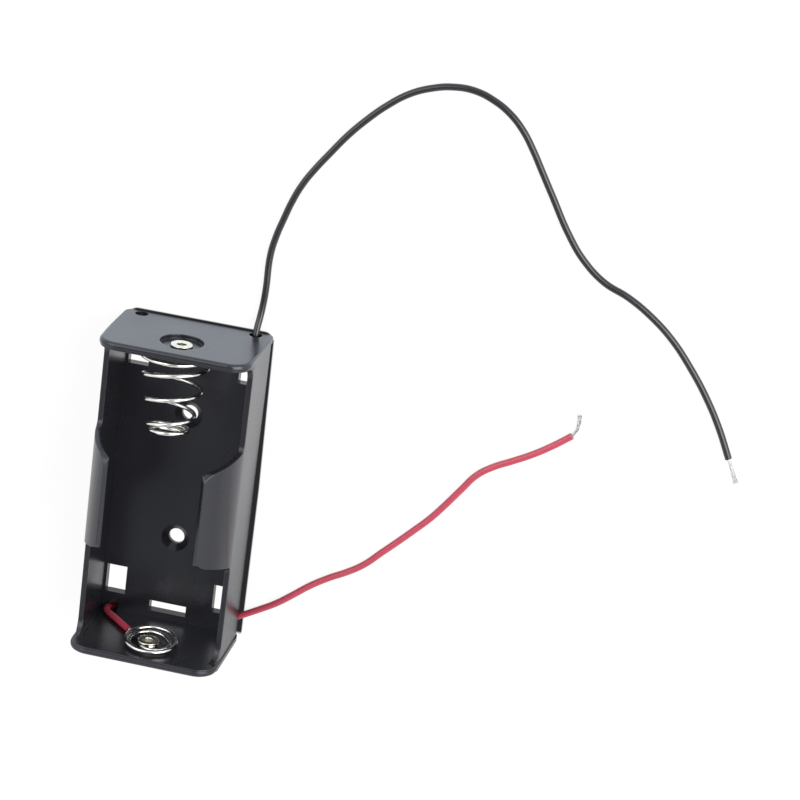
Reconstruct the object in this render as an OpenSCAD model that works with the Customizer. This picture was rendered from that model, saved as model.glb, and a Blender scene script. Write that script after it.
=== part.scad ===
// Single-cell holder for a C-size cell, lying on its back with the opening up.
// X runs across the holder, Y along it (the spring end is at +Y), Z up from the table.

/* [Housing] */
// Length over both end walls
body_len = 62.8; // [60.5:0.1:68]
// Width over the end walls
body_w = 28.8; // [28.6:0.1:32]
// Height of the end walls
end_h = 21; // [19.6:0.1:23]
// Thickness of each end wall
end_t = 1.5; // [1.3:0.05:2.2]
// Thickness of the end wall's outer flange, which stands proud of the sides
flange_t = 1; // [0.6:0.05:1.2]
// How far the flange stands proud of each side wall
flange_step = 0.2; // [0.1:0.05:0.4]
// Radius of the end walls' upper corners
end_corner_r = 4; // [2:0.1:5]
// Thickness of the side walls and wings
side_t = 1; // [0.8:0.05:1.3]
// Height of the side walls between the end walls and the wings
rim_h = 14.5; // [12.5:0.1:15]
// Thickness of the floor
floor_t = 2; // [1.8:0.05:3]
// Radius of the fillets where the rim rises to an end wall
rim_fillet_r = 3; // [2:0.1:3.4]
// Radius along the lower edges of the sides and of the end walls' corners
foot_r = 2; // [1:0.1:2.4]

/* [Wings] */
// Height of the axis that the wings curve round
wing_axis_z = 13.4; // [12.8:0.1:14.2]
// How far the wings wrap over the cell, above that axis (degrees)
wing_angle = 48; // [42:0.5:56]
// Length of a wing where it leaves the side wall
wing_root_len = 22.6; // [20:0.1:26]
// Length of a wing across its corners at the free edge
wing_tip_len = 18.2; // [14:0.1:20]
// Distance of the wings' middle from the holder's middle, towards the spring
wing_shift = 1.1; // [0:0.1:2]
// Radius of the free edge's corner towards the spring
wing_spring_r = 2.5; // [1:0.1:4]
// Radius of the free edge's other corner
wing_far_r = 2.5; // [1:0.1:5]
// Radius of the fillets where the rim rises to a wing
wing_fillet_r = 1.6; // [1:0.1:3]

/* [Floor openings] */
// Distance between the two screw holes
screw_pitch = 25.6; // [22:0.1:28]
// Distance of the screw holes' and windows' middle from the holder's middle, towards the spring
floor_shift = 0.4; // [0:0.1:1]
// Diameter of the screw holes
screw_d = 3.1; // [2.8:0.05:3.6]
// Diameter of the countersinks
sink_d = 5.4; // [4.8:0.1:6]
// Width of the four floor windows
window_w = 4; // [2.4:0.1:4.2]
// Length of the four floor windows
window_len = 5.8; // [3:0.1:6]
// Distance from the side wall's inner face to a window
window_edge = 0.4; // [0.3:0.05:1.2]
// Distance from the end wall's inner face to a window
window_end = 3.2; // [2.8:0.1:5]
// Length of the narrow slot across the floor
slot_len = 7.4; // [4:0.1:9]
// Width of the narrow slot
slot_w = 2.2; // [1:0.05:2.4]
// Distance from the end wall's inner face to the narrow slot
slot_end = 1.3; // [1.2:0.05:2]

/* [Contacts] */
// Height of the spring contact's rivet above the table
negative_z = 13.4; // [12.6:0.1:14.2]
// Height of the positive contact's rivet above the table
positive_z = 14.6; // [14:0.1:15.4]
// Diameter of the recess round each rivet in the end walls' outer faces
recess_d = 8.2; // [6:0.1:9]
// Depth of that recess
recess_depth = 0.8; // [0.5:0.05:0.9]
// Outer diameter of the rivets' barrels
barrel_d = 2.4; // [2:0.05:2.6]
// Bore of the hollow rivets
rivet_bore = 1.5; // [1.2:0.05:1.7]
// Diameter of the rivets' flanges
rivet_flange_d = 4.2; // [3.9:0.05:4.6]
// Thickness of the rivets' flanges
rivet_flange_t = 0.35; // [0.3:0.05:0.5]
// Diameter of the contact wire
wire_d = 0.8; // [0.7:0.05:0.9]

/* [Spring] */
// Radius of the spring's coil at the end wall
base_coil_r = 6.3; // [5.6:0.1:6.8]
// Radius of the last open turn
last_coil_r = 3.8; // [3.4:0.1:4.4]
// Radius of the closed turn at the free end
tip_coil_r = 3.2; // [2.6:0.1:3.4]
// Rise of the coil at the end wall off that wall
base_pitch = 1.25; // [0.9:0.05:1.6]
// Open turns between the coil at the wall and the closed turn at the free end
open_turns = 2.8; // [1.8:0.1:3.2]
// Distance between open turns
coil_pitch = 4.6; // [3:0.1:5]
// Offset of the coils from the rivet's axis, away from the leads' side
coil_shift = 0.8; // [0:0.1:1]
// Lean of the coils towards the open side, in degrees
lean_up = 9; // [0:1:10]
// Lean of the coils towards the leads' side, in degrees
lean_side = 2; // [0:1:4]

/* [Positive contact] */
// Radius of the outer turn
ring_r = 4.9; // [4.4:0.1:5.1]
// How far the outer turn's lower side stands off the wall
ring_rise = 0.6; // [0.3:0.1:1]
// Offset of the outer turn from the rivet's axis, away from its lead
ring_shift = 0.6; // [0:0.1:0.8]
// Offset of the outer turn from the rivet's axis, downwards
ring_drop = 0.6; // [0:0.1:0.8]

/* [Leads] */
// Diameter of the leads over their insulation
lead_d = 1.3; // [1.2:0.05:1.4]
// Diameter of the tinned strands
strand_d = 0.6; // [0.5:0.05:0.7]
// Diameter of the wire holes in the spring end's wall
wire_hole_d = 2.5; // [2:0.1:2.6]
// Distance of the wire holes from the side walls' inner faces
wire_hole_edge = 2.1; // [1.6:0.1:2.6]

/* [Hidden] */

arc_fn = 96;
small_fn = 48;
overcut = 1;
seat_gap = 0.05;

// How far joined parts of one moulding run into each other
merge = 0.5;

// Faces of the housing
end_y = body_len / 2;
inner_y = end_y - end_t;
side_x = body_w / 2 - flange_step;
inner_x = side_x - side_t;
wing_top_z = wing_axis_z + side_x * sin(wing_angle);

// Floor openings
window_x = inner_x - window_edge - window_w / 2;
window_y = inner_y - window_end - window_len / 2;
slot_y = -inner_y + slot_end + slot_w / 2;
wire_hole_x = inner_x - wire_hole_edge;
wire_trough_len = 2.3;

// Channel under the floor that carries the red lead to the other side, and the lead's hole
channel_w = lead_d + 0.2;
channel_h = lead_d + 0.15;
channel_y = -inner_y + 0.3;
channel_bend_x = 9.1;
channel_angle = 31;
lead_hole_x = -inner_x + 1;
lead_hole_len = 2.2;
lead_hole_w = lead_d + 0.6;
lead_pocket_len = 0.6;
lead_pocket_h = channel_h + 0.25;

// Contacts
wall_t = end_t - recess_depth;
wire_seat = wire_d / 2 + seat_gap;
hold_loop_r = (barrel_d + wire_d) / 2 + seat_gap;
rivet_grip = wall_t + wire_d + 2 * seat_gap;
rivet_len = rivet_grip + 2 * rivet_flange_t;
rivet_edge = rivet_flange_t / 3;
wire_sides = 8;
coil_step = 15;

// Angles of the spring's stretches, counted along the wire
hold_angle = 300;
sweep_angle = 180;
base_angle = 360;
closed_angle = 380;
lean_start = hold_angle + sweep_angle + base_angle / 2;
open_angle = 360 * open_turns;
closed_pitch = wire_d + seat_gap;
spring_start = -108 - sweep_angle - hold_angle;
spring_angle = hold_angle + sweep_angle + base_angle + open_angle + closed_angle;

// Angles of the positive contact's stretches
ring_sweep_angle = 500;
ring_angle = 220;
contact_angle = hold_angle + ring_sweep_angle + ring_angle;

lead_sides = 8;
// Height of a lead's middle where it lies on the table
lie_z = 0.66;

// Route of the black lead, from the solder to the end of its insulation
black_route = [
    [7.7, 28.6, 5.0], [9.2, 28.4, 3.9], [10.4, 28.5, 2.9], [11.0, 29.2, 2.2], [11.1, 30.2, 2.0],
    [11.1, 31.4, 1.95], [11.15, 32.8, 1.6], [11.3, 34.6, 1.0], [11.5, 36.8, lie_z],
    [11.7, 40.0, lie_z], [11.8, 47.0, lie_z], [12.5, 50.8, lie_z], [13.5, 54.2, lie_z],
    [14.6, 57.6, lie_z], [16.2, 61.3, lie_z], [18.2, 64.6, lie_z], [20.6, 68.0, lie_z],
    [23.4, 71.8, lie_z], [26.4, 75.2, lie_z], [29.6, 78.3, lie_z], [33.6, 81.3, lie_z],
    [37.4, 83.0, lie_z], [41.2, 83.9, lie_z], [45.2, 83.9, lie_z], [49.0, 82.7, lie_z],
    [52.2, 80.8, lie_z], [54.9, 78.2, lie_z], [57.2, 75.0, lie_z], [59.4, 71.4, lie_z],
    [61.6, 67.8, lie_z], [66.2, 60.4, lie_z], [69.3, 56.6, lie_z], [73.6, 53.2, lie_z],
    [78.4, 51.2, lie_z], [82.8, 48.6, lie_z], [87.4, 44.9, lie_z], [91.8, 40.0, lie_z],
    [95.4, 35.2, lie_z], [98.6, 30.0, lie_z], [101.4, 24.4, lie_z]
];
black_tip_route = [[101.4, 24.4, lie_z], [102.6, 22.0, 0.6], [103.6, 19.8, 0.5]];
black_tail_route = [[7.7, 28.6, 5.0], [7.0, 28.8, 5.6], [6.1, 29.2, 6.7], [4.5, 29.4, 8.7]];

// Route of the red lead, from the solder through the floor and under it
red_route = [
    [-4.9, -29.2, 11.0], [-6.9, -29.2, 9.05], [-8.9, -29.2, 7.1], [-10.9, -29.2, 5.2],
    [-11.35, -29.2, 4.6], [-11.65, -29.2, 3.75], [-11.65, -29.25, 2.85], [-11.35, -29.35, 2.0],
    [-10.75, -29.45, 1.3], [-10.0, -29.55, 0.85], [-9.0, -29.6, 0.7], [-5.6, -29.6, 0.7],
    [-2.0, -29.6, 0.7], [1.4, -29.6, 0.7], [4.8, -29.6, 0.7], [7.8, -29.6, 0.7],
    [9.2, -29.54, 0.7], [10.5, -28.76, 0.7], [14.8, -26.2, 0.7], [18.0, -24.3, lie_z],
    [21.0, -22.4, lie_z], [24.0, -20.0, lie_z], [27.2, -17.3, lie_z], [30.8, -14.8, lie_z],
    [34.2, -12.8, lie_z], [37.2, -10.6, lie_z], [40.0, -7.7, lie_z], [42.9, -4.7, lie_z],
    [45.8, -1.6, lie_z], [48.5, 1.4, lie_z], [50.9, 4.6, lie_z], [53.4, 8.2, lie_z],
    [56.0, 11.8, lie_z], [58.8, 14.0, lie_z], [62.2, 15.9, lie_z], [65.8, 18.0, lie_z],
    [69.2, 20.4, lie_z], [72.4, 23.0, lie_z]
];
red_tip_route = [[72.4, 23.0, lie_z], [73.2, 24.4, 0.6], [73.3, 26.0, 0.5], [73.2, 27.4, 0.5]];
red_tail_route = [[-4.9, -29.2, 11.0], [-4.2, -29.15, 11.2], [-3.5, -29.0, 11.3]];

// Straight, turned and swept forms

module along_y(from_y, to_y)
    translate([0, to_y, 0]) rotate([90, 0, 0]) linear_extrude(to_y - from_y) children();

module along_x(from_x, to_x)
    translate([from_x, 0, 0]) rotate([90, 0, 90]) linear_extrude(to_x - from_x) children();

module pin_y(d, from_y, to_y, fn = small_fn)
    translate([0, to_y, 0]) rotate([90, 0, 0]) cylinder(d = d, h = to_y - from_y, $fn = fn);

function unit(v) = v / norm(v);
function across(v, t) = unit(v - (v * t) * t);
function least_axis(t) = abs(t.z) < 0.8 ? [0, 0, 1] : [0, 1, 0];
function heading(path, i) = unit(path[min(i + 1, len(path) - 1)] - path[max(i - 1, 0)]);
function headings(path) = [for (i = [0:len(path) - 1]) heading(path, i)];
// A side vector for each ring, carried along the path without twisting
function carried(t) = [
    for (i = 0, n = across(least_axis(t[0]), t[0]); i < len(t);
         i = i + 1, n = i < len(t) ? across(n, t[i]) : n) n
];
function ring_points(p, t, n, d, sides) =
    let (b = cross(t, n))
    [for (k = [0:sides - 1]) p + d / 2 * (n * cos(360 * k / sides) + b * sin(360 * k / sides))];

// A round wire of diameter d swept along a path, with flat ends
module swept(path, d, sides) {
    t = headings(path);
    n = carried(t);
    last = len(path) - 1;
    points = [for (i = [0:last]) each ring_points(path[i], t[i], n[i], d, sides)];
    sides_faces = [
        for (i = [0:last - 1], k = [0:sides - 1])
            let (a = i * sides + k, b = i * sides + (k + 1) % sides)
            each [[a, b + sides, b], [a, a + sides, b + sides]]
    ];
    start_face = [for (k = [0:sides - 1]) k];
    end_face = [for (k = [0:sides - 1]) last * sides + sides - 1 - k];
    polyhedron(points, concat(sides_faces, [start_face, end_face]), convexity = 10);
}

// Housing

// A quarter of a square's corner that a radius cuts off, at the origin and outside the square's rounding
module corner_cut(r) {
    translate([-r, -r]) difference() {
        square(r + overcut);
        circle(r, $fn = arc_fn);
    }
}

// A rectangle standing on the X axis with its upper and lower corners rounded
module arched(width, height, r) {
    difference() {
        translate([-width / 2, 0]) square([width, height]);
        for (s = [0, 1]) mirror([s, 0]) {
            translate([width / 2, height]) corner_cut(r);
            translate([width / 2, 0]) mirror([0, 1]) corner_cut(foot_r);
        }
    }
}

// One wing and the wall under it, seen along the holder
module side_section() {
    translate([inner_x, 0]) square([side_t, wing_axis_z]);
    translate([0, wing_axis_z]) intersection() {
        difference() {
            circle(side_x, $fn = arc_fn);
            circle(inner_x, $fn = arc_fn);
        }
        polygon([[0, 0], [2 * side_x, 0], 2 * side_x * [cos(wing_angle), sin(wing_angle)]]);
    }
}

module tub_section() {
    difference() {
        union() {
            translate([-side_x, 0]) square([2 * side_x, floor_t]);
            side_section();
            mirror([1, 0]) side_section();
        }
        for (s = [0, 1]) mirror([s, 0]) translate([side_x, 0]) mirror([0, 1]) corner_cut(foot_r);
    }
}

// Fillet in the corner between a level edge and an upright one on its right
module corner_fillet(r) {
    difference() {
        translate([-r, 0]) square(r);
        translate([-r, r]) circle(r, $fn = arc_fn);
    }
}

function wing_slant() = atan((wing_root_len - wing_tip_len) / 2 / (wing_top_z - rim_h - wing_fillet_r));
function wing_corner(r) = [
    for (k = [0:8])
        let (a = 90 - (90 - wing_slant()) * k / 8, pull = r * tan((90 - wing_slant()) / 2))
        [wing_tip_len / 2 - pull, wing_top_z - r] + r * [cos(a), sin(a)]
];

// Half a wing, with its free corner rounded to r, seen from the side
module wing_half(r) {
    polygon(concat([[0, 0], [0, wing_top_z]], wing_corner(r),
                   [[wing_root_len / 2, rim_h + wing_fillet_r], [wing_root_len / 2, 0]]));
    translate([wing_root_len / 2, rim_h]) mirror([1, 0]) corner_fillet(wing_fillet_r);
}

// Outline of the side walls and wings, seen from the side
module side_outline() {
    translate([-inner_y - merge, 0]) square([2 * (inner_y + merge), rim_h]);
    for (s = [0, 1]) mirror([s, 0]) translate([inner_y, rim_h]) corner_fillet(rim_fillet_r);
    translate([wing_shift, 0]) {
        wing_half(wing_spring_r);
        mirror([1, 0]) wing_half(wing_far_r);
    }
}

module end_wall() {
    along_y(inner_y, end_y - flange_t) arched(2 * side_x, end_h - flange_step, end_corner_r - flange_step);
    along_y(end_y - flange_t, end_y) arched(body_w, end_h, end_corner_r);
}

module lead_channel() {
    translate([lead_hole_x, channel_y - channel_w / 2, -overcut])
        cube([channel_bend_x - lead_hole_x, channel_w, channel_h + overcut]);
    translate([channel_bend_x, channel_y, -overcut]) {
        cylinder(d = channel_w, h = channel_h + overcut, $fn = small_fn);
        rotate([0, 0, channel_angle]) translate([0, -channel_w / 2, 0])
            cube([body_w / 2, channel_w, channel_h + overcut]);
    }
    translate([lead_hole_x, channel_y - channel_w / 2, -overcut]) {
        cube([lead_hole_len, lead_hole_w, floor_t + 2 * overcut]);
        cube([lead_hole_len + lead_pocket_len, channel_w, lead_pocket_h + overcut]);
    }
}

module screw_hole() {
    sink_depth = (sink_d - screw_d) / 2;
    translate([0, 0, -overcut]) cylinder(d = screw_d, h = floor_t + 2 * overcut, $fn = small_fn);
    translate([0, 0, floor_t - sink_depth])
        cylinder(d1 = screw_d, d2 = sink_d + 2 * overcut, h = sink_depth + overcut, $fn = small_fn);
}

module floor_openings() {
    for (s = [-1, 1]) translate([0, floor_shift + s * screw_pitch / 2, 0]) screw_hole();
    for (sx = [-1, 1], sy = [-1, 1])
        translate([sx * window_x - window_w / 2, floor_shift + sy * window_y - window_len / 2, -overcut])
            cube([window_w, window_len, floor_t + 2 * overcut]);
    translate([-slot_len / 2, slot_y - slot_w / 2, -overcut]) cube([slot_len, slot_w, floor_t + 2 * overcut]);
}

module contact_openings() {
    for (s = [-1, 1]) mirror([0, s < 0 ? 1 : 0, 0]) translate([0, 0, s < 0 ? positive_z : negative_z]) {
        pin_y(barrel_d + 2 * seat_gap, inner_y - overcut, end_y + overcut);
        pin_y(recess_d, end_y - recess_depth, end_y + overcut);
    }
    for (s = [-1, 1]) translate([s * wire_hole_x, 0, floor_t])
        pin_y(wire_hole_d, inner_y - wire_trough_len, end_y + overcut);
}

module housing() {
    color("#2b2b2e") difference() {
        union() {
            intersection() {
                along_y(-inner_y - merge, inner_y + merge) tub_section();
                along_x(-body_w, body_w) side_outline();
            }
            end_wall();
            mirror([0, 1, 0]) end_wall();
        }
        floor_openings();
        contact_openings();
        lead_channel();
    }
}

// Contacts

function share(a, from, length) = min(max((a - from) / length, 0), 1);
function mixed(a, b, u) = a + (b - a) * u;

// Radius of the spring's wire, a degrees along it
function spring_r(a) =
    let (swept_out = mixed(hold_loop_r, base_coil_r, share(a, hold_angle, sweep_angle)),
         coned = (base_coil_r - last_coil_r) * share(a, spring_angle - closed_angle - open_angle, open_angle),
         closed = (last_coil_r - tip_coil_r) * share(a, spring_angle - closed_angle, closed_angle / 2))
    swept_out - coned - closed;
// Distance of the wire's middle from the wall, measured along the spring
function spring_rise(a) =
    let (base_start = hold_angle + sweep_angle, open_start = base_start + base_angle)
    wire_seat
    + base_pitch * share(a, base_start, base_angle)
    + coil_pitch * open_turns * share(a, open_start, open_angle)
    + closed_pitch * closed_angle / 360 * share(a, open_start + open_angle, closed_angle);
// Point of the wire's middle, with the free coils leaning
function spring_point(a) =
    let (turn = spring_start + a, r = spring_r(a), rise = spring_rise(a),
         lean = share(a, lean_start, base_angle),
         x = r * cos(turn), z = r * sin(turn))
    [x + lean * rise * sin(lean_side) - coil_shift * share(a, hold_angle, sweep_angle),
     inner_y - rise + lean * (x * sin(lean_side) + z * sin(lean_up)),
     negative_z + z + lean * rise * sin(lean_up)];

module negative_spring() {
    path = [for (a = [0:coil_step:spring_angle]) spring_point(a)];
    color("silver") swept(path, wire_d, wire_sides);
}

// Point of the positive contact's wire, a degrees along it from the rivet
function contact_point(a) =
    let (turn = contact_angle - a, out = share(a, hold_angle, ring_sweep_angle),
         r = mixed(hold_loop_r, ring_r, out))
    [r * cos(turn) + out * ring_shift,
     -inner_y + wire_seat + out * ring_rise * (1 - sin(turn)) / 2,
     positive_z - out * ring_drop + r * sin(turn)];

module positive_contact() {
    path = [for (a = [0:coil_step:contact_angle]) contact_point(a)];
    color("silver") swept(path, wire_d, wire_sides);
}

// A hollow rivet along Y with both flanges formed, from its outer face inwards
module rivet() {
    bore_r = rivet_bore / 2;
    flange_r = rivet_flange_d / 2;
    color("silver") rotate([90, 0, 0]) rotate_extrude($fn = small_fn) polygon([
        [bore_r + rivet_edge, 0], [flange_r - rivet_edge, 0], [flange_r, rivet_edge],
        [flange_r, rivet_flange_t], [barrel_d / 2, rivet_flange_t],
        [barrel_d / 2, rivet_len - rivet_flange_t], [flange_r, rivet_len - rivet_flange_t],
        [flange_r, rivet_len - rivet_edge], [flange_r - rivet_edge, rivet_len],
        [bore_r + rivet_edge, rivet_len], [bore_r, rivet_len - rivet_edge], [bore_r, rivet_edge]
    ]);
}

rivet_face_y = end_y - recess_depth + rivet_flange_t;
module negative_rivet() translate([0, rivet_face_y, negative_z]) rivet();
module positive_rivet() mirror([0, 1, 0]) translate([0, rivet_face_y, positive_z]) rivet();

// Leads

module black_lead() color("#1c1c1e") swept(black_route, lead_d, lead_sides);
module black_lead_tip() color("silver") swept(black_tip_route, strand_d, lead_sides);
module black_lead_tail() color("silver") swept(black_tail_route, strand_d, lead_sides);
module red_lead() color("crimson") swept(red_route, lead_d, lead_sides);
module red_lead_tip() color("silver") swept(red_tip_route, strand_d, lead_sides);
module red_lead_tail() color("silver") swept(red_tail_route, strand_d, lead_sides);

housing();
negative_spring();
negative_rivet();
positive_contact();
positive_rivet();
black_lead();
black_lead_tip();
black_lead_tail();
red_lead();
red_lead_tip();
red_lead_tail();
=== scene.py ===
import bpy
import bmesh
import math
from mathutils import Vector, Matrix


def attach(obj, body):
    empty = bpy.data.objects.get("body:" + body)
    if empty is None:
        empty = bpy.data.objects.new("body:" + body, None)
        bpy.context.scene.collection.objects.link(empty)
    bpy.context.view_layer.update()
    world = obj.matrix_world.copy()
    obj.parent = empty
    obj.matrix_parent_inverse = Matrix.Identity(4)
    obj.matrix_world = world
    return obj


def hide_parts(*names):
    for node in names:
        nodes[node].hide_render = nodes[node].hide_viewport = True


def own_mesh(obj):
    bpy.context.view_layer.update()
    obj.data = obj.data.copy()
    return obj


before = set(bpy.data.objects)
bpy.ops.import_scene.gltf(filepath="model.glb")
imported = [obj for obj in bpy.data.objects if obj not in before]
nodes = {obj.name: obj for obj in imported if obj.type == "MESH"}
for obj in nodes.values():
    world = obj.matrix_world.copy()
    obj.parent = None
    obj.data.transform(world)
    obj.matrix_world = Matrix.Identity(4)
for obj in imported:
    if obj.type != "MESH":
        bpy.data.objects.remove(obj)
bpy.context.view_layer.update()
scene = bpy.context.scene
scene.view_settings.view_transform = "Standard"
print("frame loaded:", len(nodes), "nodes")


def hexColour(code, alpha=1.0):
    # sRGB hex to the linear values that shaders take
    parts = [int(code[i:i + 2], 16) / 255 for i in (1, 3, 5)]
    linear = [c / 12.92 if c <= 0.04045 else ((c + 0.055) / 1.055) ** 2.4 for c in parts]
    return (*linear, alpha)


def addNode(tree, kind, settings=None, inputs=None, output=0):
    # adds one node, sets its properties, fills or links its inputs and returns one output, or all of them
    # when output is None. A list links all its members to the one input.
    node = tree.nodes.new(kind)
    for name, value in (settings or {}).items():
        setattr(node, name, value)
    items = inputs.items() if isinstance(inputs, dict) else enumerate(inputs or [])
    for key, value in items:
        for part in value if isinstance(value, list) else [value]:
            if isinstance(part, bpy.types.NodeSocket):
                tree.links.new(part, node.inputs[key])
            else:
                node.inputs[key].default_value = part
    return node.outputs if output is None or not node.outputs else node.outputs[output]


def addRows(tree, made, rows):
    # adds one node per row and keeps its result in made. A row is the result's name, the node's kind or its
    # Math operation, its inputs, in which a name stands for an earlier result, and its other settings.
    for name, kind, terms, *settings in rows:
        if kind.isupper():
            kind, settings = "ShaderNodeMath", [{"operation": kind}]
        terms = [made.get(term, term) for term in terms]
        made[name] = addNode(tree, kind, settings[0] if settings else None, terms)


mapRange = "ShaderNodeMapRange"  # its inputs: value, from, to, and what it gives at each


def newMaterial(name):
    material = bpy.data.materials.new(name)
    material.use_nodes = True
    material.node_tree.nodes.clear()
    return material, material.node_tree


def setMaterial(obj, material):
    obj.data.materials.clear()
    obj.data.materials.append(material)


def link(obj):
    scene.collection.objects.link(obj)
    return obj


def settle(obj):
    # keeps what the object's modifiers make as its plain mesh
    graph = bpy.context.evaluated_depsgraph_get()
    mesh = bpy.data.meshes.new_from_object(obj.evaluated_get(graph), depsgraph=graph)
    obj.modifiers.clear()
    obj.data = mesh
    return mesh


creaseAngle = 40  # degrees


def smoothByAngle(mesh, degrees):
    # smooth faces, with edges sharper than the angle left crisp
    for face in mesh.polygons:
        face.use_smooth = True
    work = bmesh.new()
    work.from_mesh(mesh)
    for edge in work.edges:
        if len(edge.link_faces) == 2:
            edge.smooth = edge.calc_face_angle() < math.radians(degrees)
    work.to_mesh(mesh)
    work.free()


cameraSettings = {
    "place": (0.1035, 0.1805, 0.4360),
    "forward": (-0.1368, -0.3358, -0.9319),
    "up": (-0.186, 0.9328, -0.3088),
    "lens": 112.5,
    "sensor": 36,
    "clip": (0.01, 20),
}


def makeCamera(s):
    data = bpy.data.cameras.new("camera")
    data.lens = s["lens"]
    data.sensor_width = s["sensor"]
    data.clip_start, data.clip_end = s["clip"]
    camera = link(bpy.data.objects.new("camera", data))
    back = -Vector(s["forward"]).normalized()
    right = Vector(s["up"]).cross(back).normalized()
    turn = Matrix((right, back.cross(right), back)).transposed().to_4x4()
    camera.matrix_world = Matrix.Translation(s["place"]) @ turn
    scene.camera = camera


makeCamera(cameraSettings)
print("camera placed")


leadDiameter = 0.0013
blackLead = {
    "route": [
        (7.7, 28.6, 5.0), (9.2, 28.4, 3.9), (10.4, 28.5, 2.9), (11.0, 29.2, 2.2), (11.1, 30.2, 2.0),
        (11.1, 31.4, 1.95), (11.15, 32.8, 1.6), (11.3, 34.6, 1.0), (11.5, 36.8, 0.66),
        (11.7, 40.0, 0.66), (11.8, 47.0, 0.66), (12.5, 50.8, 0.66), (13.5, 54.2, 0.66),
        (14.6, 57.6, 0.66), (16.2, 61.3, 0.66), (18.2, 64.6, 0.66), (20.6, 68.0, 0.66),
        (23.4, 71.8, 0.66), (26.4, 75.2, 0.66), (29.6, 78.3, 0.66), (33.6, 81.3, 0.66),
        (37.4, 83.0, 0.66), (41.2, 83.9, 0.66), (45.2, 83.9, 0.66), (49.0, 82.7, 0.66),
        (52.2, 80.8, 0.66), (54.9, 78.2, 0.66), (57.2, 75.0, 0.66), (59.4, 71.4, 0.66),
        (61.6, 67.8, 0.66), (66.2, 60.4, 0.66), (69.3, 56.6, 0.66), (73.6, 53.2, 0.66),
        (78.4, 51.2, 0.66), (82.8, 48.6, 0.66), (87.4, 44.9, 0.66), (91.8, 40.0, 0.66),
        (95.4, 35.2, 0.66), (98.6, 30.0, 0.66), (101.4, 24.4, 0.66)],
    "tip": [(101.4, 24.4, 0.66), (102.6, 22.0, 0.6), (103.6, 19.8, 0.5)],
    "tail": [(7.7, 28.6, 5.0), (7.0, 28.8, 5.6), (6.1, 29.2, 6.7), (4.5, 29.4, 8.7)],
    "exit": (0.0111, 0.0314, 0.00195),
    "length": 0.1605,
}
redLead = {
    "route": [
        (-4.9, -29.2, 11.0), (-6.9, -29.2, 9.05), (-8.9, -29.2, 7.1), (-10.9, -29.2, 5.2),
        (-11.35, -29.2, 4.6), (-11.65, -29.2, 3.75), (-11.65, -29.25, 2.85), (-11.35, -29.35, 2.0),
        (-10.75, -29.45, 1.3), (-10.0, -29.55, 0.85), (-9.0, -29.6, 0.7), (-5.6, -29.6, 0.7),
        (-2.0, -29.6, 0.7), (1.4, -29.6, 0.7), (4.8, -29.6, 0.7), (7.8, -29.6, 0.7),
        (9.2, -29.54, 0.7), (10.5, -28.76, 0.7), (14.8, -26.2, 0.7), (18.0, -24.3, 0.66),
        (21.0, -22.4, 0.66), (24.0, -20.0, 0.66), (27.2, -17.3, 0.66), (30.8, -14.8, 0.66),
        (34.2, -12.8, 0.66), (37.2, -10.6, 0.66), (40.0, -7.7, 0.66), (42.9, -4.7, 0.66),
        (45.8, -1.6, 0.66), (48.5, 1.4, 0.66), (50.9, 4.6, 0.66), (53.4, 8.2, 0.66),
        (56.0, 11.8, 0.66), (58.8, 14.0, 0.66), (62.2, 15.9, 0.66), (65.8, 18.0, 0.66),
        (69.2, 20.4, 0.66), (72.4, 23.0, 0.66)],
    "tip": [(72.4, 23.0, 0.66), (73.2, 24.4, 0.6), (73.3, 26.0, 0.5), (73.2, 27.4, 0.5)],
    "tail": [(-4.9, -29.2, 11.0), (-4.2, -29.15, 11.2), (-3.5, -29.0, 11.3)],
    "exit": (0.0144, -0.0264, 0.0007),
    "length": 0.116,
}
strands = {
    "count": 7, "strand": 0.00019,
    "bundle": 0.0002,  # from the middle strand to the others
    "twist": 700.0,  # radians per metre
    "step": 0.00025,
}


def inMetres(points):
    return [Vector(p) / 1000 for p in points]


def openSpline(curve, points):
    spline = curve.splines.new("BEZIER")
    spline.bezier_points.add(len(points) - 1)
    for knot, place in zip(spline.bezier_points, points):
        knot.co = place
        knot.handle_left_type = knot.handle_right_type = "AUTO"
    spline.resolution_u = 6  # steps between two knots


def makeLead(name, s, material):
    curve = bpy.data.curves.new(name, "CURVE")
    curve.dimensions = "3D"
    curve.bevel_depth = leadDiameter / 2
    curve.bevel_resolution = 6
    curve.use_fill_caps = True
    openSpline(curve, inMetres(s["route"]))
    lead = link(bpy.data.objects.new(name, curve))
    curve.materials.append(material)
    return lead


def evenly(points, step):
    # points at even distances along a route
    rows, carry = [points[0]], 0.0
    for a, b in zip(points, points[1:]):
        length = (b - a).length
        at = step - carry
        while at <= length:
            rows.append(a.lerp(b, at / length))
            at += step
        carry = length - (at - step)
    return rows


def makeStrands(name, route, material, spread=0.0):
    # tinned strands twisted round the route, opening a little towards the free end
    path = evenly(inMetres(route), strands["step"])
    curve = bpy.data.curves.new(name, "CURVE")
    curve.dimensions = "3D"
    curve.bevel_depth = strands["strand"] / 2
    curve.bevel_resolution = 2
    curve.use_fill_caps = True
    along = (path[-1] - path[0]).normalized()
    side = along.cross(Vector((0, 0, 1))).normalized()
    lift = side.cross(along)
    total = len(path) - 1
    for k in range(strands["count"]):
        points = []
        for i, place in enumerate(path):
            out = 0.0 if k == 0 else strands["bundle"] * (1 + spread * (i / total) ** 2)
            turn = 2 * math.pi * k / (strands["count"] - 1) + strands["twist"] * i * strands["step"]
            points.append(place + out * (side * math.cos(turn) + lift * math.sin(turn)))
        openSpline(curve, points)
    tip = link(bpy.data.objects.new(name, curve))
    curve.materials.append(material)
    return tip


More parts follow.
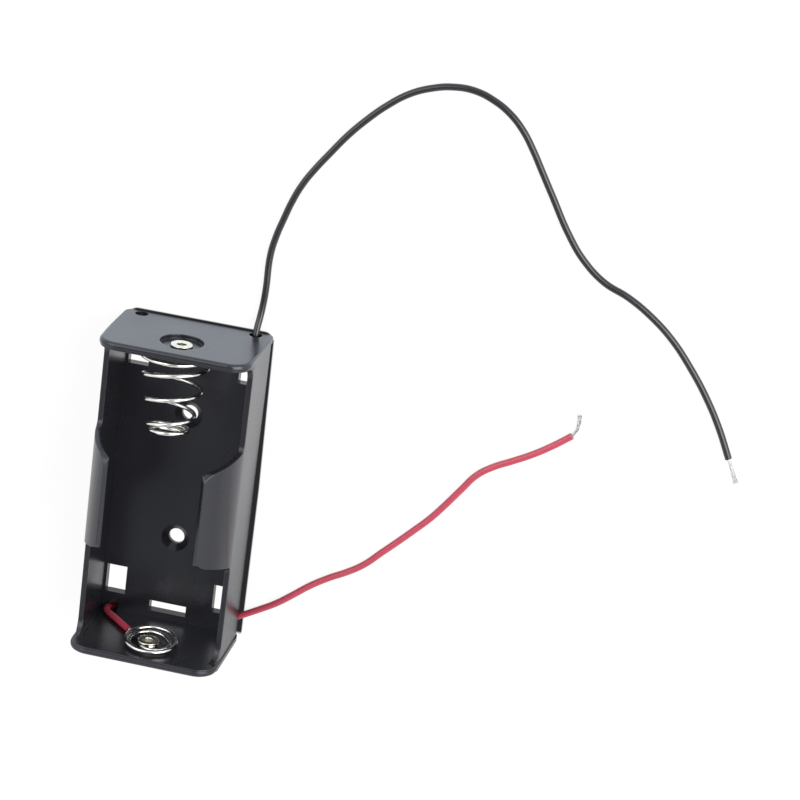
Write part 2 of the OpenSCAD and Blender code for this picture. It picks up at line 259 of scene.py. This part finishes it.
# PVC insulation, extruded: smooth and even, with a soft gloss and slight waves along the wire, and painted
# shade where it runs under the holder's floor
pvcSettings = {
    "wave": 260.0,  # waves about 4 mm long
    "grain": 2600.0,  # grain of 0.4 mm, coarser than the real one so that it shows
    "grainDepth": 0.00004, "grainShare": 0.12,
    "roughChange": (-0.05, 0.08),
    "underWidth": 0.0140, "underLength": 0.0312,  # half sizes of the space under the holder's floor
    "underHeights": (0.0045, 0.0022), "underShade": 0.93,  # where its painted shade starts and is full
}


def pvcMaterial(name, colour, shade, roughness, s):
    material, tree = newMaterial(name)
    place = addNode(tree, "ShaderNodeTexCoord", output=3)
    x, y, z = addNode(tree, "ShaderNodeSeparateXYZ", None, [place], output=None)
    wave = addNode(tree, "ShaderNodeTexNoise", None, {"Vector": place, "Scale": s["wave"], "Detail": 3.0})
    tint = addNode(tree, "ShaderNodeMix", {"data_type": "RGBA"},
                   {0: wave, 6: hexColour(colour), 7: hexColour(shade)}, output=2)
    # painted shade: under the holder's floor the colour and the gloss are darkened, where hardly any light
    # reaches
    made = {"x": x, "y": y, "z": z, "wave": wave}
    addRows(tree, made, (
        ("within width", "COMPARE", ("x", 0.0, s["underWidth"])),
        ("within length", "COMPARE", ("y", 0.0, s["underLength"])),
        ("below", mapRange, ("z", *s["underHeights"], 0.0, s["underShade"])),
        ("inside", "MULTIPLY", ("within width", "within length")),
        ("shade", "MULTIPLY", ("inside", "below")),
        ("lightness", "SUBTRACT", (1.0, "shade")),
        ("gloss", "MULTIPLY", ("lightness", 0.5)),
        ("rough", mapRange, ("wave", 0.0, 1.0, *(roughness + change for change in s["roughChange"]))),
    ))
    tint = addNode(tree, "ShaderNodeVectorMath", {"operation": "SCALE"},
                   {0: tint, "Scale": made["lightness"]})
    grain = addNode(tree, "ShaderNodeTexNoise", None, {"Vector": place, "Scale": s["grain"], "Detail": 2.0})
    bump = addNode(tree, "ShaderNodeBump", None,
                   {"Strength": s["grainShare"], "Distance": s["grainDepth"], "Height": grain})
    shader = addNode(tree, "ShaderNodeBsdfPrincipled", None,
                     {"Base Color": tint, "Roughness": made["rough"], "Normal": bump, "IOR": 1.53,
                      "Specular IOR Level": made["gloss"]})
    addNode(tree, "ShaderNodeOutputMaterial", None, {"Surface": shader})
    return material


# Tinned copper, dipped: dull solder-grey, a little uneven where the tin has flowed
tinnedSettings = {
    "colour": "#d4d4d2", "shade": "#a9aaab", "rough": (0.25, 0.45),
    "flow": 1800.0,  # runs of about 0.5 mm
}


def tinnedMaterial(s):
    material, tree = newMaterial("tinnedCopper")
    place = addNode(tree, "ShaderNodeTexCoord", output=3)
    flow = addNode(tree, "ShaderNodeTexNoise", None, {"Vector": place, "Scale": s["flow"], "Detail": 3.0})
    tint = addNode(tree, "ShaderNodeMix", {"data_type": "RGBA"},
                   {0: flow, 6: hexColour(s["colour"]), 7: hexColour(s["shade"])}, output=2)
    rough = addNode(tree, mapRange, None, [flow, 0.0, 1.0, *s["rough"]])
    shader = addNode(tree, "ShaderNodeBsdfPrincipled", None,
                     {"Base Color": tint, "Roughness": rough, "Metallic": 1.0})
    addNode(tree, "ShaderNodeOutputMaterial", None, {"Surface": shader})
    return material


blackPvc = pvcMaterial("blackPvc", "#161618", "#1d1d20", 0.22, pvcSettings)
redPvc = pvcMaterial("redPvc", "#ae3b4e", "#9f3648", 0.3, pvcSettings)
tinned = tinnedMaterial(tinnedSettings)
for title, s, material, slotName in (("black_lead", blackLead, blackPvc, "black_insulation"),
                                     ("red_lead", redLead, redPvc, "red_insulation")):
    lead = makeLead(title + "_wire", s, material)
    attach(lead, "holder")
    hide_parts(title)
    for part, spread in (("tip", 0.9), ("tail", 0.0)):
        end = makeStrands(title + "_" + part + "_strands", s[part], tinned, spread)
        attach(end, "holder")
        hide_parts(title + "_" + part)
print("leads laid")


springSettings = {
    "Start Angle": -588.0, "Turn Sign": 1.0, "Face Sign": -1.0,
    "Hold Angle": 300.0, "Hold Radius": 0.00165,
    "Sweep Angle": 180.0, "Wall Radius": 0.0063,
    "Wall Angle": 360.0, "Wall Pitch": 0.00125,
    "Open Angle": 1008.0, "Open Pitch": 0.0046, "End Radius": 0.0041,
    "Closed Angle": 500.0, "Closed Pitch": 0.0008, "Tip Radius": 0.0034,
    "Shift": -0.0008, "Drop": 0.0, "Lean Up": 9.0, "Lean Side": 2.0, "Low Side Rise": 0.0,
    "Wire Diameter": 0.0008, "Seat": 0.00045, "Wall": 0.0299, "Axis Height": 0.0134,
}
# the positive contact is wound by the same rules, nearly flat
ringSettings = {
    "Start Angle": 1150.0, "Turn Sign": -1.0, "Face Sign": 1.0,
    "Hold Angle": 300.0, "Hold Radius": 0.00165,
    "Sweep Angle": 120.0, "Wall Radius": 0.0037,
    "Wall Angle": 60.0, "Wall Pitch": 0.0,
    "Open Angle": 360.0, "Open Pitch": 0.0003, "End Radius": 0.0049,
    "Closed Angle": 310.0, "Closed Pitch": 0.0, "Tip Radius": 0.0049,
    "Shift": 0.00045, "Drop": 0.0006, "Lean Up": 0.0, "Lean Side": 0.0, "Low Side Rise": 0.0006,
    "Wire Diameter": 0.0008, "Seat": 0.00045, "Wall": -0.0299, "Axis Height": 0.0146,
}
wireStep = 4.0  # degrees of coil between points
wireSides = 14

# How a coiled wire runs, one named value per row
coilSteps = (
    ("angle", "MULTIPLY", ("Index", "Step")),
    ("swept", "ADD", ("Hold Angle", "Sweep Angle")),
    ("opened", "ADD", ("swept", "Wall Angle")),
    ("closed", "ADD", ("opened", "Open Angle")),
    ("half closed", "MULTIPLY_ADD", ("Closed Angle", 0.5, "closed")),
    ("ended", "ADD", ("closed", "Closed Angle")),
    # radius: the sweep widens it, the cone and the closed turn narrow it
    ("wide", mapRange, ("angle", "Hold Angle", "swept", "Hold Radius", "Wall Radius")),
    ("cone depth", "SUBTRACT", ("Wall Radius", "End Radius")),
    ("cone", mapRange, ("angle", "opened", "closed", 0.0, "cone depth")),
    ("tip depth", "SUBTRACT", ("End Radius", "Tip Radius")),
    ("narrowed", mapRange, ("angle", "closed", "half closed", 0.0, "tip depth")),
    ("coned", "SUBTRACT", ("wide", "cone")),
    ("radius", "SUBTRACT", ("coned", "narrowed")),
    # distance from the wall
    ("wall height", "ADD", ("Seat", "Wall Pitch")),
    ("open turns", "DIVIDE", ("Open Angle", 360.0)),
    ("open height", "MULTIPLY", ("open turns", "Open Pitch")),
    ("closed turns", "DIVIDE", ("Closed Angle", 360.0)),
    ("closed height", "MULTIPLY", ("closed turns", "Closed Pitch")),
    ("first rise", mapRange, ("angle", "swept", "opened", "Seat", "wall height")),
    ("open rise", mapRange, ("angle", "opened", "closed", 0.0, "open height")),
    ("closed rise", mapRange, ("angle", "closed", "ended", 0.0, "closed height")),
    ("rise so far", "ADD", ("first rise", "open rise")),
    ("rise", "ADD", ("rise so far", "closed rise")),
    # the free coils lean as a whole
    ("lean start", "MULTIPLY_ADD", ("Wall Angle", 0.5, "swept")),
    ("lean end", "ADD", ("lean start", "Wall Angle")),
    ("lean", mapRange, ("angle", "lean start", "lean end", 0.0, 1.0)),
    ("up angle", "RADIANS", ("Lean Up",)),
    ("up share", "SINE", ("up angle",)),
    ("lean up", "MULTIPLY", ("up share", "lean")),
    ("side angle", "RADIANS", ("Lean Side",)),
    ("side share", "SINE", ("side angle",)),
    ("lean side", "MULTIPLY", ("side share", "lean")),
    # place on the turn
    ("turned", "MULTIPLY_ADD", ("angle", "Turn Sign", "Start Angle")),
    ("turn", "RADIANS", ("turned",)),
    ("cosine", "COSINE", ("turn",)),
    ("sine", "SINE", ("turn",)),
    ("across", "MULTIPLY", ("radius", "cosine")),
    ("height", "MULTIPLY", ("radius", "sine")),
    ("shift", mapRange, ("angle", "Hold Angle", "swept", 0.0, "Shift")),
    ("drop", mapRange, ("angle", "opened", "closed", 0.0, "Drop")),
    ("leaning x", "MULTIPLY_ADD", ("rise", "lean side", "across")),
    ("x", "ADD", ("leaning x", "shift")),
    ("leaning z", "MULTIPLY_ADD", ("rise", "lean up", "height")),
    ("raised z", "ADD", ("leaning z", "Axis Height")),
    ("z", "SUBTRACT", ("raised z", "drop")),
    # the lower side may stand off the wall
    ("lowness", "MULTIPLY_ADD", ("sine", -0.5, 0.5)),
    ("low rise", mapRange, ("angle", "Hold Angle", "swept", 0.0, "Low Side Rise")),
    ("depth", "MULTIPLY_ADD", ("lowness", "low rise", "rise")),
    ("level y", "MULTIPLY_ADD", ("depth", "Face Sign", "Wall")),
    ("sideways y", "MULTIPLY_ADD", ("across", "lean side", "level y")),
    ("y", "MULTIPLY_ADD", ("height", "lean up", "sideways y")),
    ("wire radius", "MULTIPLY", ("Wire Diameter", 0.5)),
)


def newTree(name, floats, others=()):
    # an empty geometry tree with a named input for each value, and a dictionary of those inputs
    tree = bpy.data.node_groups.new(name, "GeometryNodeTree")
    tree.interface.new_socket("Geometry", in_out="OUTPUT", socket_type="NodeSocketGeometry")
    for title, kind in (*((title, "NodeSocketFloat") for title in floats), *others,
                        ("Material", "NodeSocketMaterial")):
        tree.interface.new_socket(title, in_out="INPUT", socket_type=kind)
    given = addNode(tree, "NodeGroupInput", output=None)
    return tree, {socket.name: socket for socket in given}


def finishTree(tree, shape, made):
    # ends a tree with real geometry in its material
    whole = addNode(tree, "GeometryNodeRealizeInstances", None, {"Geometry": shape})
    done = addNode(tree, "GeometryNodeSetMaterial", None, {"Geometry": whole, "Material": made["Material"]})
    addNode(tree, "NodeGroupOutput", None, [done])
    return tree


def coiledWireTree():
    # a wire that loops round its rivet, sweeps out, lies on the wall, then climbs in a leaning cone
    tree, made = newTree("coiledWire", (*springSettings, "Step"), (("Points", "NodeSocketInt"),))
    made["Index"] = addNode(tree, "GeometryNodeInputIndex")
    addRows(tree, made, coilSteps)
    line = addNode(tree, "GeometryNodeMeshLine", None, {"Count": made["Points"], "Offset": (0, 0, 0.001)})
    place = addNode(tree, "ShaderNodeCombineXYZ", None, [made["x"], made["y"], made["z"]])
    moved = addNode(tree, "GeometryNodeSetPosition", None, {"Geometry": line, "Position": place})
    wire = addNode(tree, "GeometryNodeMeshToCurve", None, {"Mesh": moved})
    circle = addNode(tree, "GeometryNodeCurvePrimitiveCircle", None,
                     {"Resolution": wireSides, "Radius": made["wire radius"]})
    tube = addNode(tree, "GeometryNodeCurveToMesh", None,
                   {"Curve": wire, "Profile Curve": circle, "Fill Caps": True})
    smooth = addNode(tree, "GeometryNodeSetShadeSmooth", None, {"Geometry": tube})
    return finishTree(tree, smooth, made)


def nodesPiece(name, tree, values):
    # runs a geometry tree on an empty mesh and keeps its result as a plain mesh
    piece = link(bpy.data.objects.new(name, bpy.data.meshes.new(name)))
    modifier = piece.modifiers.new("nodes", "NODES")
    modifier.node_group = tree
    for item in tree.interface.items_tree:
        if item.in_out == "INPUT" and item.name in values:
            modifier[item.identifier] = values[item.name]
    settle(piece)
    return piece


# Bright nickel plate on drawn steel: a sharp mirror with faint drawing marks and a warm tone
nickelSettings = {
    "cloud": 500.0,  # clouds of about 2 mm
    "marks": 3500.0,  # marks of 0.3 mm
    "markDepth": 0.00002, "markShare": 0.08,
    "roughChange": (-0.05, 0.08),
}


def nickelMaterial(name, colour, shade, roughness, s):
    material, tree = newMaterial(name)
    place = addNode(tree, "ShaderNodeTexCoord", output=3)
    cloud = addNode(tree, "ShaderNodeTexNoise", None, {"Vector": place, "Scale": s["cloud"], "Detail": 3.0})
    tint = addNode(tree, "ShaderNodeMix", {"data_type": "RGBA"},
                   {0: cloud, 6: hexColour(colour), 7: hexColour(shade)}, output=2)
    rough = addNode(tree, mapRange, None,
                    [cloud, 0.0, 1.0, *(roughness + change for change in s["roughChange"])])
    marks = addNode(tree, "ShaderNodeTexNoise", None, {"Vector": place, "Scale": s["marks"], "Detail": 2.0})
    bump = addNode(tree, "ShaderNodeBump", None,
                   {"Strength": s["markShare"], "Distance": s["markDepth"], "Height": marks})
    shader = addNode(tree, "ShaderNodeBsdfPrincipled", None,
                     {"Base Color": tint, "Roughness": rough, "Metallic": 1.0, "Normal": bump})
    addNode(tree, "ShaderNodeOutputMaterial", None, {"Surface": shader})
    return material


nickelWire = nickelMaterial("nickelPlatedWire", "#f0efec", "#d9d7d2", 0.16, nickelSettings)
nickelRivet = nickelMaterial("nickelPlatedRivet", "#e6e4d8", "#cdcabb", 0.24, nickelSettings)
coiledWire = coiledWireTree()
for title, s in (("negative_spring", springSettings), ("positive_contact", ringSettings)):
    total = sum(s[k] for k in ("Hold Angle", "Sweep Angle", "Wall Angle", "Open Angle", "Closed Angle"))
    coil = nodesPiece(title + "_wire", coiledWire,
                      dict(s, Points=int(round(total / wireStep)) + 1, Step=wireStep, Material=nickelWire))
    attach(coil, "holder")
    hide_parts(title)
    if title == "negative_spring":
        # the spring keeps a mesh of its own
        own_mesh(coil)
print("contacts wound")


rivetSettings = {
    "Bore": 0.0018, "Barrel": 0.0024, "Flange": 0.0042,
    "Roll": 0.0005,  # thickness of the rolled flanges
}
rivetSides, rollSides = 64, 20
rivetPlaces = {
    # face outside, face inside and height of the axis
    "negative_rivet": (0.03085, 0.0288, 0.0134),
    "positive_rivet": (-0.03085, -0.0288, 0.0146),
}

# The rolled flange is a ring of flattened section, and the barrel is a plain tube
rivetSteps = (
    ("flange less bore", "SUBTRACT", ("Flange", "Bore")),
    ("roll radius", "MULTIPLY", ("flange less bore", 0.25)),
    ("flange and bore", "ADD", ("Flange", "Bore")),
    ("roll path", "MULTIPLY", ("flange and bore", 0.25)),
    ("roll share", "DIVIDE", ("Roll", "roll radius")),
    ("squeeze", "MULTIPLY", ("roll share", 0.5)),
    ("barrel less bore", "SUBTRACT", ("Barrel", "Bore")),
    ("barrel wall", "MULTIPLY", ("barrel less bore", 0.5)),
    ("barrel and bore", "ADD", ("Barrel", "Bore")),
    ("barrel path", "MULTIPLY", ("barrel and bore", 0.25)),
    ("face to face", "SUBTRACT", ("Outer Face", "Inner Face")),
    ("span", "ABSOLUTE", ("face to face",)),
    ("both faces", "ADD", ("Outer Face", "Inner Face")),
    ("middle", "MULTIPLY", ("both faces", 0.5)),
)


def rivetTree():
    # a hollow rivet along Y: a barrel with a rolled flange at each end
    tree, made = newTree("hollowRivet", (*rivetSettings, "Outer Face", "Inner Face", "Axis Height"))
    addRows(tree, made, rivetSteps)
    circle, sweep = "GeometryNodeCurvePrimitiveCircle", "GeometryNodeCurveToMesh"
    path = addNode(tree, circle, None, {"Resolution": rivetSides, "Radius": made["roll path"]})
    section = addNode(tree, circle, None, {"Resolution": rollSides, "Radius": made["roll radius"]})
    ring = addNode(tree, sweep, None, {"Curve": path, "Profile Curve": section})
    flatter = addNode(tree, "ShaderNodeCombineXYZ", None, [1.0, 1.0, made["squeeze"]])
    hoop = addNode(tree, circle, None, {"Resolution": rivetSides, "Radius": made["barrel path"]})
    wall = addNode(tree, "GeometryNodeCurvePrimitiveQuadrilateral", None,
                   {"Width": made["barrel wall"], "Height": made["span"]})
    barrel = addNode(tree, sweep, None, {"Curve": hoop, "Profile Curve": wall})
    parts = []
    for shape, across, scale in ((ring, "Outer Face", flatter), (ring, "Inner Face", flatter),
                                 (barrel, "middle", (1.0, 1.0, 1.0))):
        place = addNode(tree, "ShaderNodeCombineXYZ", None, [0.0, made[across], made["Axis Height"]])
        parts.append(addNode(tree, "GeometryNodeTransform", None,
                             {"Geometry": shape, "Translation": place, "Scale": scale,
                              "Rotation": (math.pi / 2, 0, 0)}))
    return finishTree(tree, addNode(tree, "GeometryNodeJoinGeometry", None, [parts]), made)


hollowRivet = rivetTree()
for title, (outer, inner, height) in rivetPlaces.items():
    rivet = nodesPiece(title + "_rolled", hollowRivet,
                       {**rivetSettings, "Outer Face": outer, "Inner Face": inner,
                        "Axis Height": height, "Material": nickelRivet})
    smoothByAngle(rivet.data, creaseAngle)
    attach(rivet, "holder")
    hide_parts(title)
print("rivets set")


housingSettings = {
    "mergeWithin": 0.000002, "flatWithin": 0.2,  # metres, and degrees
    "outlineRound": 0.0006, "roundSteps": 4,  # radius along the end walls' outline
    "roundAbove": 0.003,  # the outline near the table stays sharp
    "roundFrom": 0.0169,  # where an end wall's upper corners begin
    "halfWidth": 0.0144, "halfLength": 0.0314, "slack": 0.00001,
    "sharpAngle": 35.0,  # degrees between two faces of the outline
    "edgeRound": 0.0003,  # radius that the other upper edges seem to have
    "easedFrom": 0.004,  # height above which they have it
    # the cool tint of the reflections is painted, standing in for cool light
    "colour": "#17171a", "shade": "#1f1f23", "gloss": 0.57, "paintedCoolReflection": "#eef1ff",
    "flow": 90.0, "rough": (0.2, 0.34),  # flow marks about 11 mm across
    "skin": 3200.0,  # a moulded skin of 0.3 mm, coarser than the real one so that it shows
    "skinDepth": 0.00003, "skinShare": 0.1,
}


# Black ABS, injection moulded: near-black with a cool cast, glossy, with faint flow marks, and a painted
# cool tint in its reflections
def absMaterial(s):
    material, tree = newMaterial("blackAbs")
    place = addNode(tree, "ShaderNodeTexCoord", output=3)
    flow = addNode(tree, "ShaderNodeTexNoise", None, {"Vector": place, "Scale": s["flow"], "Detail": 4.0})
    tint = addNode(tree, "ShaderNodeMix", {"data_type": "RGBA"},
                   {0: flow, 6: hexColour(s["colour"]), 7: hexColour(s["shade"])}, output=2)
    made = {"flow": flow, "height": addNode(tree, "ShaderNodeSeparateXYZ", None, [place], output=2)}
    addRows(tree, made, (
        ("rough", mapRange, ("flow", 0.0, 1.0, *s["rough"])),
        ("upper", "GREATER_THAN", ("height", s["easedFrom"])),
        ("radius", "MULTIPLY", ("upper", s["edgeRound"])),
    ))
    skin = addNode(tree, "ShaderNodeTexNoise", None, {"Vector": place, "Scale": s["skin"], "Detail": 2.0})
    # the small radius that a mould leaves on its edges
    eased = addNode(tree, "ShaderNodeBevel", {"samples": 8}, {"Radius": made["radius"]})
    bump = addNode(tree, "ShaderNodeBump", None,
                   {"Strength": s["skinShare"], "Distance": s["skinDepth"], "Height": skin, "Normal": eased})
    # Specular Tint paints the cool tint into every reflection
    shader = addNode(tree, "ShaderNodeBsdfPrincipled", None,
                     {"Base Color": tint, "Roughness": made["rough"], "Normal": bump, "IOR": 1.54,
                      "Specular IOR Level": s["gloss"], "Specular Tint": hexColour(s["paintedCoolReflection"])})
    addNode(tree, "ShaderNodeOutputMaterial", None, {"Surface": shader})
    return material


def mouldedCopy(source, name, s):
    # the moulding with the end walls' outline rounded, and normals that keep its flat faces flat
    mesh = source.data.copy()
    work = bmesh.new()
    work.from_mesh(mesh)
    bmesh.ops.remove_doubles(work, verts=work.verts, dist=s["mergeWithin"])
    bmesh.ops.dissolve_limit(work, angle_limit=math.radians(s["flatWithin"]),
                             verts=work.verts, edges=work.edges)

    def onOutline(place):
        return (abs(place.y) > s["halfLength"] - s["slack"] and place.z > s["roundAbove"]
                and (place.z > s["roundFrom"] or abs(place.x) > s["halfWidth"] - s["slack"]))

    outline = [edge for edge in work.edges
               if len(edge.link_faces) == 2 and all(onOutline(v.co) for v in edge.verts)
               and edge.calc_face_angle() > math.radians(s["sharpAngle"])]
    bmesh.ops.bevel(work, geom=outline, offset=s["outlineRound"], offset_type="OFFSET",
                    segments=s["roundSteps"], profile=0.5, affect="EDGES", clamp_overlap=False)
    work.to_mesh(mesh)
    work.free()
    piece = link(bpy.data.objects.new(name, mesh))
    smoothByAngle(mesh, creaseAngle)
    weighted = piece.modifiers.new("normals", "WEIGHTED_NORMAL")
    weighted.mode = "FACE_AREA"
    weighted.keep_sharp = True
    settle(piece)
    return piece


body = mouldedCopy(nodes["housing"], "housing_moulding", housingSettings)
setMaterial(body, absMaterial(housingSettings))
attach(body, "holder")
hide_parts("housing")
print("housing finished:", len(body.data.polygons), "faces")


studio = {
    "floorSize": 4.0, "tableColour": "#f4f4f4", "white": "#ffffff",
    "shadow": 0.12,  # share of the table that takes light and shade
    "foot": (0.0138, 0.0313, 0.0015),  # half width, half length and corner radius of the holder's foot
    "covered": (0.0129, 0.0311),  # half width and half length of the table seen through the windows, which glows fully there: painted light in place of the holder's shadow
    # painted contact shadow: its colour, its width from spring end to middle, its soft edge and where it
    # ends
    "contactColour": "#2a2a2c", "contactWidth": (0.031, 0.0, 0.0003, 0.0009), "contactFade": 0.0003,
    "contactEnd": (-0.0308, -0.0302),
    "leadHole": (-0.0122, -0.0296, 0.0026, 0.0014),  # middle and half size of the painted shade under the lead hole
    # the table in reflections, a painted reflection: its strength from the near end to the spring end, and
    # painted cool light beyond that
    "tableSeen": (-0.03, 0.02, 0.7, 1.06), "coolFrom": (0.030, 0.0315), "coolExtra": 0.4,
    "coolLight": "#eef5ff",
    "diffuseSky": 0.75,
    "mirrorSky": (0.72, 0.92, 1.0, 0.3),  # white walls round the table, and a darker ceiling
    "lamps": (("keyLamp", (0.35, 0.1, 0.32), 0.4, 2.4), ("fillLamp", (-0.3, 0.25, 0.5), 0.5, 1.6)),
    "aim": (0.0, 0.0, 0.01),
}


def tableMaterial(s):
    # a pale table, pure white to the eye and to reflections, that keeps a share of its shade; under the
    # holder it glows fully, painted light that takes its shade away, and it carries a painted contact
    # shadow, painted shade under the lead hole and painted reflections
    material, tree = newMaterial("paleTable")
    path = addNode(tree, "ShaderNodeLightPath", output=None)
    place = addNode(tree, "ShaderNodeTexCoord", output=3)
    x, y, _ = addNode(tree, "ShaderNodeSeparateXYZ", None, [place], output=None)
    # how far a place lies from the middle part of the foot, whose corners are round
    halfX, halfY, corner = s["foot"]
    away = addNode(tree, "ShaderNodeVectorMath", {"operation": "ABSOLUTE"}, [place])
    away = addNode(tree, "ShaderNodeVectorMath", {"operation": "SUBTRACT"},
                   [away, (halfX - corner, halfY - corner, 0.0)])
    away = addNode(tree, "ShaderNodeVectorMath", {"operation": "MAXIMUM"}, [away, (0.0, 0.0, 0.0)])
    away = addNode(tree, "ShaderNodeVectorMath", {"operation": "LENGTH"}, [away], output=1)
    coveredX, coveredY = s["covered"]
    holeX, holeY, holeHalfX, holeHalfY = s["leadHole"]
    made = {"x": x, "y": y, "away": away, "to camera": path["Is Camera Ray"],
            "to gloss": path["Is Glossy Ray"], "through": path["Is Transmission Ray"]}
    addRows(tree, made, (
        ("within width", "COMPARE", ("x", 0.0, coveredX)),
        ("within length", "COMPARE", ("y", 0.0, coveredY)),
        ("covered", "MULTIPLY", ("within width", "within length")),
        ("open", "SUBTRACT", (1.0, "covered")),
        # painted contact shadow: a dark line round the foot, wider towards the near end, as if the lead
        # under the floor lifted the holder
        ("reach", mapRange, ("y", *s["contactWidth"])),
        ("past the foot", "SUBTRACT", ("away", "reach")),
        ("line", mapRange, ("past the foot", corner, corner + s["contactFade"], 1.0, 0.0),
         {"interpolation_type": "SMOOTHSTEP"}),
        ("line end", mapRange, ("y", *s["contactEnd"], 0.0, 1.0)),
        ("ended line", "MULTIPLY", ("line", "line end")),
        ("open line", "MULTIPLY", ("ended line", "open")),
        # painted shade: a dark patch on the table under the lead hole
        ("hole width", "COMPARE", ("x", holeX, holeHalfX)),
        ("hole length", "COMPARE", ("y", holeY, holeHalfY)),
        ("hole", "MULTIPLY", ("hole width", "hole length")),
        ("dark", "MAXIMUM", ("open line", "hole")),
        # how much of the table glows
        ("seen", "MAXIMUM", ("to camera", "to gloss")),
        ("seen in all", "MAXIMUM", ("seen", "through")),
        # under the holder the table glows fully, painted light that takes away the holder's shadow there
        ("glowing part", "MAXIMUM", ("covered", 1 - s["shadow"])),
        ("share", "MULTIPLY", ("seen in all", "glowing part")),
        # and how strongly in reflections: painted reflection, dimmer towards the near end, brighter and cool
        # past the spring end
        ("level", mapRange, ("y", *s["tableSeen"])),
        ("beyond end", mapRange, ("y", *s["coolFrom"], 0.0, 1.0)),
        ("raised level", "MULTIPLY_ADD", ("beyond end", s["coolExtra"], "level")),
        ("change", "SUBTRACT", ("raised level", 1.0)),
        ("strength", "MULTIPLY_ADD", ("to gloss", "change", 1.0)),
        ("cool", "MULTIPLY", ("to gloss", "beyond end")),
    ))
    glowing, card = (addNode(tree, "ShaderNodeMix", {"data_type": "RGBA"},
                             {0: made["dark"], 6: hexColour(s[colour]), 7: hexColour(s["contactColour"])},
                             output=2) for colour in ("white", "tableColour"))
    glowing = addNode(tree, "ShaderNodeMix", {"data_type": "RGBA", "blend_type": "MULTIPLY"},
                      {0: made["cool"], 6: glowing, 7: hexColour(s["coolLight"])}, output=2)
    matt = addNode(tree, "ShaderNodeBsdfDiffuse", None, {"Color": card})
    glow = addNode(tree, "ShaderNodeEmission", None, {"Color": glowing, "Strength": made["strength"]})
    mixed = addNode(tree, "ShaderNodeMixShader", None, [made["share"], matt, glow])
    addNode(tree, "ShaderNodeOutputMaterial", None, {"Surface": mixed})
    return material


def makeFloor(s):
    mesh = bpy.data.meshes.new("floor")
    h = s["floorSize"] / 2
    mesh.from_pydata([(-h, -h, 0), (h, -h, 0), (h, h, 0), (-h, h, 0)], [], [(0, 1, 2, 3)])
    floor = link(bpy.data.objects.new("floor", mesh))
    setMaterial(floor, tableMaterial(s))


def makeSky(s):
    world = bpy.data.worlds.new("studio")
    scene.world = world
    world.use_nodes = True
    tree = world.node_tree
    tree.nodes.clear()
    path = addNode(tree, "ShaderNodeLightPath", output=None)
    seen = addNode(tree, "ShaderNodeMath", {"operation": "MAXIMUM"},
                   [path["Is Camera Ray"], path["Is Transmission Ray"]])
    way = addNode(tree, "ShaderNodeTexCoord", output=0)
    up = addNode(tree, "ShaderNodeSeparateXYZ", None, [way], output=2)
    level = addNode(tree, mapRange, None, [up, *s["mirrorSky"]])
    soft, mirror, white = (addNode(tree, "ShaderNodeBackground", None,
                                   {"Color": hexColour(s["white"]), "Strength": strength})
                           for strength in (s["diffuseSky"], level, 1.0))
    lit = addNode(tree, "ShaderNodeMixShader", None, [path["Is Glossy Ray"], soft, mirror])
    shown = addNode(tree, "ShaderNodeMixShader", None, [seen, lit, white])
    addNode(tree, "ShaderNodeOutputWorld", None, {"Surface": shown})


def makeLamps(s):
    for name, place, size, power in s["lamps"]:
        data = bpy.data.lights.new(name, "AREA")
        data.shape = "SQUARE"
        data.size = size
        data.energy = power
        lamp = link(bpy.data.objects.new(name, data))
        aim = (Vector(s["aim"]) - Vector(place)).to_track_quat("-Z", "Y")
        lamp.matrix_world = Matrix.Translation(place) @ aim.to_matrix().to_4x4()


makeFloor(studio)
makeSky(studio)
makeLamps(studio)
print("studio lit")
